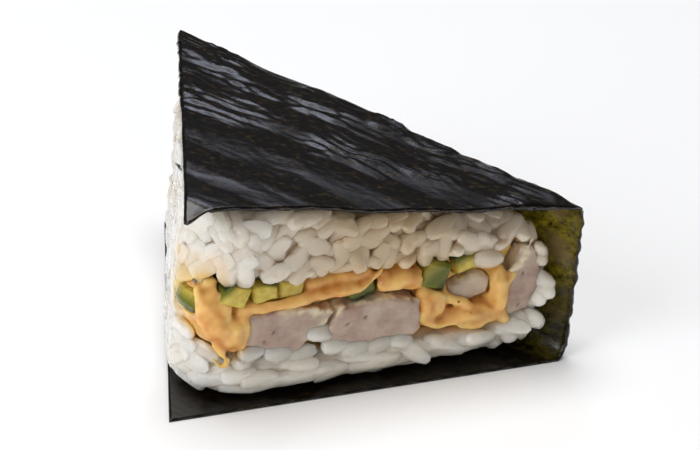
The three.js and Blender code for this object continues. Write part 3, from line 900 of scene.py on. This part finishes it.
# Painted light: the sauce is made paler where it stands out as a ridge and deeper in its hollows.
ridge_shading_layer = sauce.verts.layers.float.new("ridge_shading")
for vert, place, normal in zip(sauce.verts, before, normals):
    vert[ridge_shading_layer] = 0.5 + (place - vert.co).dot(normal) / RIDGE_HEIGHT
    vert.co = place + normal * SAUCE_RIPPLE * noise.noise(place / (2.6 * MM))

# Spiced mayonnaise: an oil emulsion, smooth and glossy, orange yellow in cloudy tones, paler on its ridges
# with a painted highlight and deeper in its hollows with painted shade, with a few chilli specks.
sauce_material, tree = new_material("spiced_mayonnaise")
coordinates = add_node(tree, "ShaderNodeTexCoord")
ridge_shading = add_node(tree, "ShaderNodeAttribute", {"attribute_name": "ridge_shading"})
cloud = add_node(
    tree,
    "ShaderNodeTexNoise",
    inputs={"Vector": coordinates.outputs["Object"], "Scale": 1 / (5 * MM), "Detail": 3},
)
height_share = add_node(
    tree,
    "ShaderNodeMath",
    {"operation": "MULTIPLY_ADD"},
    {0: cloud.outputs["Fac"], 1: 1.4, 2: ridge_shading.outputs["Fac"]},
)
# Painted highlight on the ridges and painted shade in the hollows, mixed with cloudy tone.
highlight_share = add_node(
    tree,
    "ShaderNodeMapRange",
    inputs={"Value": height_share.outputs[0], "From Min": 0.75, "From Max": 1.5},
)
lit_and_shaded_orange = add_node(
    tree,
    "ShaderNodeMix",
    {"data_type": "RGBA"},
    {0: highlight_share.outputs[0], 6: linear("#c87628"), 7: linear("#f8cb7c")},
)
chilli = add_node(
    tree,
    "ShaderNodeTexVoronoi",
    inputs={"Vector": coordinates.outputs["Object"], "Scale": 1 / (5 * MM)},
)
chilli_share = add_node(
    tree,
    "ShaderNodeMapRange",
    inputs={
        "Value": chilli.outputs["Distance"],
        "From Min": 0.05,
        "From Max": 0.09,
        "To Min": 1,
        "To Max": 0,
    },
)
specked = add_node(
    tree,
    "ShaderNodeMix",
    {"data_type": "RGBA"},
    {0: chilli_share.outputs[0], 6: lit_and_shaded_orange.outputs[2], 7: linear("#b8461c")},
)
shader = add_node(
    tree,
    "ShaderNodeBsdfPrincipled",
    inputs={
        "Base Color": specked.outputs[2],
        "Roughness": 0.2,
        "IOR": 1.45,
        "Subsurface Weight": 0.7,
        "Subsurface Radius": (1.0, 0.6, 0.3),
        "Subsurface Scale": 1.8 * MM,
    },
)
add_node(tree, "ShaderNodeOutputMaterial", inputs={"Surface": shader.outputs["BSDF"]})
show(sauce, "sauce_layer", sauce_material, "sauce")

# Nori: one sheet of dried, roasted seaweed, drawn about 0.3 mm thick and folded as a jacket over the
# top, the back side and the bottom. Moisture has drawn it into patches of fine wrinkles along the fold.
# Patches are (along the fold from the right corner, out from the fold, radius) in millimetres.
NORI_ROUNDS = 4
NORI_LONG_EDGE = 0.85 * MM
NORI_THINNED = 0.3 * MM
FOLD_RADIUS = 1.8 * MM
WRINKLE_PATCHES = [
    (87, -11, 16),
    (72, -24, 19),
    (57, -9, 13),
    (42, -22, 15),
    (29, -14, 12),
    (46, -3, 7),
    (34, -3, 8),
    (22, -4, 9),
    (9, -3, 9),
    (6, -14, 11),
    (6, -27, 10),
]
WRINKLE_SETS = [
    {"turn": -0.05, "width": 2.4 * MM, "run": 26 * MM, "depth": 0.45 * MM, "seed": 1.7},
    {"turn": -0.28, "width": 1.8 * MM, "run": 17 * MM, "depth": 0.34 * MM, "seed": 6.1},
    {"turn": 0.2, "width": 1.4 * MM, "run": 13 * MM, "depth": 0.24 * MM, "seed": 9.4},
]
PLAIN_SHARE = 0.18
BROKEN_SIZE = 12 * MM
WARP_SIZE = 11 * MM
WARP = 1.3
SWELL_SIZE = 9 * MM
SWELL_DEPTH = 0.18 * MM
WAIST_DEPTH = 2.4 * MM
WAIST_LENGTH = 9 * MM
RAGGED_EDGE = 0.8 * MM
RAGGED_REACH = 5 * MM
BLUNT_REACH = 4 * MM
BLUNTED = 0.4
BOTTOM_SHEET = 0.7 * MM
BOTTOM_WRINKLE = 2
TOP_SHEET = 2 * MM


def wrinkle_height(along, out, down):
    across = out - down
    patchy = PLAIN_SHARE
    for patch_along, patch_out, radius in WRINKLE_PATCHES:
        apart = math.hypot(along - patch_along * MM, across - patch_out * MM) / (radius * MM)
        patchy = max(patchy, 1 - ramp(apart, 0.4, 1.0))
    height = SWELL_DEPTH * patchy * noise.noise(Vector((along, across, 0)) / SWELL_SIZE)
    for fold in WRINKLE_SETS:
        cos, sin = math.cos(fold["turn"]), math.sin(fold["turn"])
        run, width = along * cos + across * sin, across * cos - along * sin
        spot = Vector((along, across, 0))
        broken = ramp(noise.noise(spot / BROKEN_SIZE + Vector((fold["seed"], 0, 0))), -0.45, 0.15)
        warp = WARP * noise.noise(spot / WARP_SIZE + Vector((0, 0, fold["seed"])))
        wave = noise.noise(Vector((run / fold["run"], width / fold["width"] + warp, fold["seed"])))
        height += fold["depth"] * patchy * broken * (1 - abs(wave)) ** 3
    return height


def rounded_fold(out, down):
    inward, below = FOLD_RADIUS + out, FOLD_RADIUS - down
    if inward <= 0 or below <= 0:
        return 0.0
    return 1 - max(inward, below) / math.hypot(inward, below)


nori = cad_copy("nori")
for _ in range(NORI_ROUNDS):
    long_edges = [edge for edge in nori.edges if edge.calc_length() > NORI_LONG_EDGE]
    bmesh.ops.subdivide_edges(nori, edges=long_edges, cuts=1, use_grid_fill=True)
bmesh.ops.triangulate(nori, faces=[face for face in nori.faces if len(face.verts) > 4])
nori.normal_update()
middle = Vector((-4, -14, 22)) * MM
nori_backlight_glow = nori.verts.layers.float.new("backlight_glow")
nori_crinkle_highlight = nori.verts.layers.float.new("crinkle_highlight")
fold_length = (BACK_CORNER - RIGHT_CORNER).length
outward_3d = fold_outward.to_3d()
moves = []
for vert in nori.verts:
    outside = 1 if vert.normal.dot(vert.co - middle) > 0 else -1
    along = (vert.co.xy - RIGHT_CORNER).dot(along_fold)
    out = past_wall(vert.co.x, vert.co.y)
    down = nori_plane(vert.co.x, vert.co.y) - vert.co.z
    # The inner face follows the wrinkles of the outer face it lies behind.
    outer_out, outer_down = out, down
    if outside < 0 and out > -2 * NORI_SHEET:
        outer_out += NORI_SHEET
    if outside < 0 and down < 2 * NORI_SHEET:
        outer_down -= NORI_SHEET
    height = wrinkle_height(along, outer_out, outer_down)
    move = vert.normal * (outside * height)
    if vert.co.z < BOTTOM_SHEET:
        move = vert.normal * BOTTOM_WRINKLE * height if outside < 0 else Vector()
    turn = rounded_fold(out, down)
    if outside < 0:
        move -= vert.normal * NORI_THINNED * (1 - ramp(turn, 0, 0.1))
    move -= outward_3d * turn * (FOLD_RADIUS + out) + Vector((0, 0, turn * (FOLD_RADIUS - down)))
    if down < TOP_SHEET:
        move.z -= corner_droop(vert.co.x, vert.co.y)
        to_middle = middle.xy - vert.co.xy
        near_corner = max(0.0, BLUNT_REACH - (vert.co.xy - BACK_CORNER).length)
        move += to_middle.normalized().to_3d() * near_corner * BLUNTED
    move.z -= fold_drop(out) * (1 - ramp(down, TOP_SHEET, 14 * MM))
    waist = ramp(along, fold_length - WAIST_LENGTH, fold_length) * ramp(out, -6 * MM, -1 * MM)
    waist *= ramp(vert.co.z, 3 * MM, 10 * MM) * ramp(46 * MM - vert.co.z, 0, 20 * MM)
    move -= along_fold.to_3d() * WAIST_DEPTH * waist
    ragged = ramp(RAGGED_REACH - along, 0, RAGGED_REACH) * ramp(vert.co.z, 1 * MM, 4 * MM)
    move += along_fold.to_3d() * RAGGED_EDGE * ragged * noise.noise(vert.co / (2.4 * MM))
    moves.append(move)
    # Painted light on the inner wall: an olive glow for light through the sheet, stronger near the open edge
    # and higher up, and a painted highlight on its raised crinkles near that edge.
    lit = ramp(26 * MM - along, 0, 14 * MM) * (0.45 + 0.55 * ramp(along, 0, 8 * MM))
    lit *= 0.25 + 0.75 * ramp(vert.co.z, 6 * MM, 26 * MM)
    inner_wall = outside < 0 and out > -4 * MM
    vert[nori_backlight_glow] = lit if inner_wall else 0.0
    near_edge = ramp(12 * MM - along, 0, 8 * MM) * ramp(vert.co.z, 6 * MM, 16 * MM)
    vert[nori_crinkle_highlight] = near_edge * ramp(height, 0.1 * MM, 0.6 * MM) if inner_wall else 0.0
for vert, move in zip(nori.verts, moves):
    vert.co += move

# Roasted seaweed: near black with brown flecks and a satin gloss on the ridges. Its inner wall has a
# painted olive glow for light shining through thin seaweed from behind, and a painted highlight in dry
# brown on the crinkles near the open edge.
nori_material, tree = new_material("roasted_nori")
coordinates = add_node(tree, "ShaderNodeTexCoord")
backlight_glow = add_node(tree, "ShaderNodeAttribute", {"attribute_name": "backlight_glow"})
flecks = add_node(
    tree,
    "ShaderNodeTexNoise",
    inputs={"Vector": coordinates.outputs["Object"], "Scale": 1 / (1.7 * MM), "Detail": 8, "Roughness": 0.7},
)
fleck_share = add_node(
    tree,
    "ShaderNodeMapRange",
    inputs={"Value": flecks.outputs["Fac"], "From Min": 0.54, "From Max": 0.76},
)
dark = add_node(
    tree,
    "ShaderNodeMix",
    {"data_type": "RGBA"},
    {0: fleck_share.outputs[0], 6: linear("#0d0a08"), 7: linear("#4c3b1a")},
)
level_streaks = add_node(
    tree,
    "ShaderNodeMapping",
    inputs={"Vector": coordinates.outputs["Object"], "Scale": (0.8, 0.8, 1.2)},
)
thin_places = add_node(
    tree,
    "ShaderNodeTexNoise",
    inputs={
        "Vector": level_streaks.outputs["Vector"],
        "Scale": 1 / (1.8 * MM),
        "Detail": 9,
        "Roughness": 0.72,
    },
)
thin_share = add_node(
    tree,
    "ShaderNodeMapRange",
    inputs={"Value": thin_places.outputs["Fac"], "From Min": 0.38, "From Max": 0.66},
)
# Painted glow of light through the thin places of the sheet.
glow = add_node(
    tree,
    "ShaderNodeMix",
    {"data_type": "RGBA"},
    {0: thin_share.outputs[0], 6: linear("#1e1608"), 7: linear("#b4a424")},
)
colour = add_node(
    tree,
    "ShaderNodeMix",
    {"data_type": "RGBA"},
    {0: backlight_glow.outputs["Fac"], 6: dark.outputs[2], 7: glow.outputs[2]},
)
# Painted highlight on the inner wall's crinkles.
crinkle_highlight = add_node(tree, "ShaderNodeAttribute", {"attribute_name": "crinkle_highlight"})
crinkle_highlighted = add_node(
    tree,
    "ShaderNodeMix",
    {"data_type": "RGBA"},
    {0: crinkle_highlight.outputs["Fac"], 6: colour.outputs[2], 7: linear("#7d6a46")},
)
fibre = add_node(
    tree,
    "ShaderNodeTexNoise",
    inputs={"Vector": coordinates.outputs["Object"], "Scale": 1 / (0.6 * MM), "Detail": 5, "Roughness": 0.65},
)
relief = add_node(
    tree,
    "ShaderNodeBump",
    inputs={"Height": fibre.outputs["Fac"], "Strength": 0.42, "Distance": 0.1 * MM},
)
satin = add_node(
    tree,
    "ShaderNodeMapRange",
    inputs={"Value": flecks.outputs["Fac"], "From Min": 0.3, "From Max": 0.7, "To Min": 0.16, "To Max": 0.26},
)
shader = add_node(
    tree,
    "ShaderNodeBsdfPrincipled",
    inputs={
        "Base Color": crinkle_highlighted.outputs[2],
        "Roughness": satin.outputs[0],
        "Normal": relief.outputs["Normal"],
        "IOR": 1.45,
    },
)
add_node(tree, "ShaderNodeOutputMaterial", inputs={"Surface": shader.outputs["BSDF"]})
show(nori, "nori_sheet", nori_material, "nori")

# Studio: a plain pale floor, soft light from the left, from above and from the front, two small lights
# behind for the nori's sheen, and the camera at the photograph's angle.
FLOOR_HALF = 3
SKY_LIGHT = 0.05
floor_mesh = bpy.data.meshes.new("floor")
floor_body = bmesh.new()
bmesh.ops.create_grid(floor_body, x_segments=1, y_segments=1, size=FLOOR_HALF)
floor_body.to_mesh(floor_mesh)
floor_body.free()
floor = bpy.data.objects.new("floor", floor_mesh)
bpy.context.scene.collection.objects.link(floor)

# White paper: matt and almost white, so that the shadow on it is soft.
paper, tree = new_material("white_paper")
shader = add_node(
    tree, "ShaderNodeBsdfPrincipled", inputs={"Base Color": linear("#f6f6f6"), "Roughness": 0.9}
)
add_node(tree, "ShaderNodeOutputMaterial", inputs={"Surface": shader.outputs["BSDF"]})
floor_mesh.materials.append(paper)

world = bpy.data.worlds.new("studio")
bpy.context.scene.world = world
world.use_nodes = True
world.node_tree.nodes["Background"].inputs["Color"].default_value = linear("#ffffff")
world.node_tree.nodes["Background"].inputs["Strength"].default_value = SKY_LIGHT


def soft_light(name, place, target, size, power, colour):
    lamp = bpy.data.lights.new(name, "AREA")
    lamp.shape = "DISK"
    lamp.size = size
    lamp.energy = power
    lamp.color = linear(colour)[:3]
    holder = bpy.data.objects.new(name, lamp)
    holder.location = place
    holder.rotation_euler = (Vector(target) - Vector(place)).to_track_quat("-Z", "Y").to_euler()
    bpy.context.scene.collection.objects.link(holder)


soft_light("left_window", (-0.6, -0.2, 0.36), (0, 0, 0.02), 0.45, 2.4, "#fbfcff")
soft_light("top_box", (-0.1, 0.25, 2.0), (0, 0, 0.03), 1.5, 36, "#ffffff")
soft_light("front_fill", (-0.25, -0.85, 0.35), (0, 0, 0.02), 0.7, 0.9, "#fff4e4")
soft_light("corner_box", (0.31, 0.3, 0.4), (0.032, -0.028, 0.036), 0.14, 0.045, "#e6ecff")
soft_light("sheen_box", (0.193, 0.371, 0.49), (-0.015, 0.025, 0.046), 0.16, 0.34, "#e6ecff")

# The camera was fitted to the six corners of the nori.
FOCAL_PIXELS = 3000
IMAGE_WIDTH = 700
SENSOR = 36
AZIMUTH = math.radians(-30.03)
ELEVATION = math.radians(24.76)
ROLL = math.radians(5.82)
DISTANCE = 634.9 * MM
TARGET = Vector((14.48, 0, 15.51)) * MM
camera_data = bpy.data.cameras.new("camera")
camera_data.sensor_width = SENSOR
camera_data.lens = FOCAL_PIXELS * SENSOR / IMAGE_WIDTH
camera_data.clip_start = 0.01
camera = bpy.data.objects.new("camera", camera_data)
back = Vector(
    (
        math.sin(AZIMUTH) * math.cos(ELEVATION),
        -math.cos(AZIMUTH) * math.cos(ELEVATION),
        math.sin(ELEVATION),
    )
)
level = Vector((math.cos(AZIMUTH), math.sin(AZIMUTH), 0))
upright = back.cross(level)
right = level * math.cos(ROLL) + upright * math.sin(ROLL)
above = upright * math.cos(ROLL) - level * math.sin(ROLL)
turned = Matrix((right, above, back)).transposed().to_4x4()
camera.matrix_world = Matrix.Translation(TARGET + back * DISTANCE) @ turned
bpy.context.scene.collection.objects.link(camera)
bpy.context.scene.camera = camera
bpy.context.scene.view_settings.view_transform = "Standard"
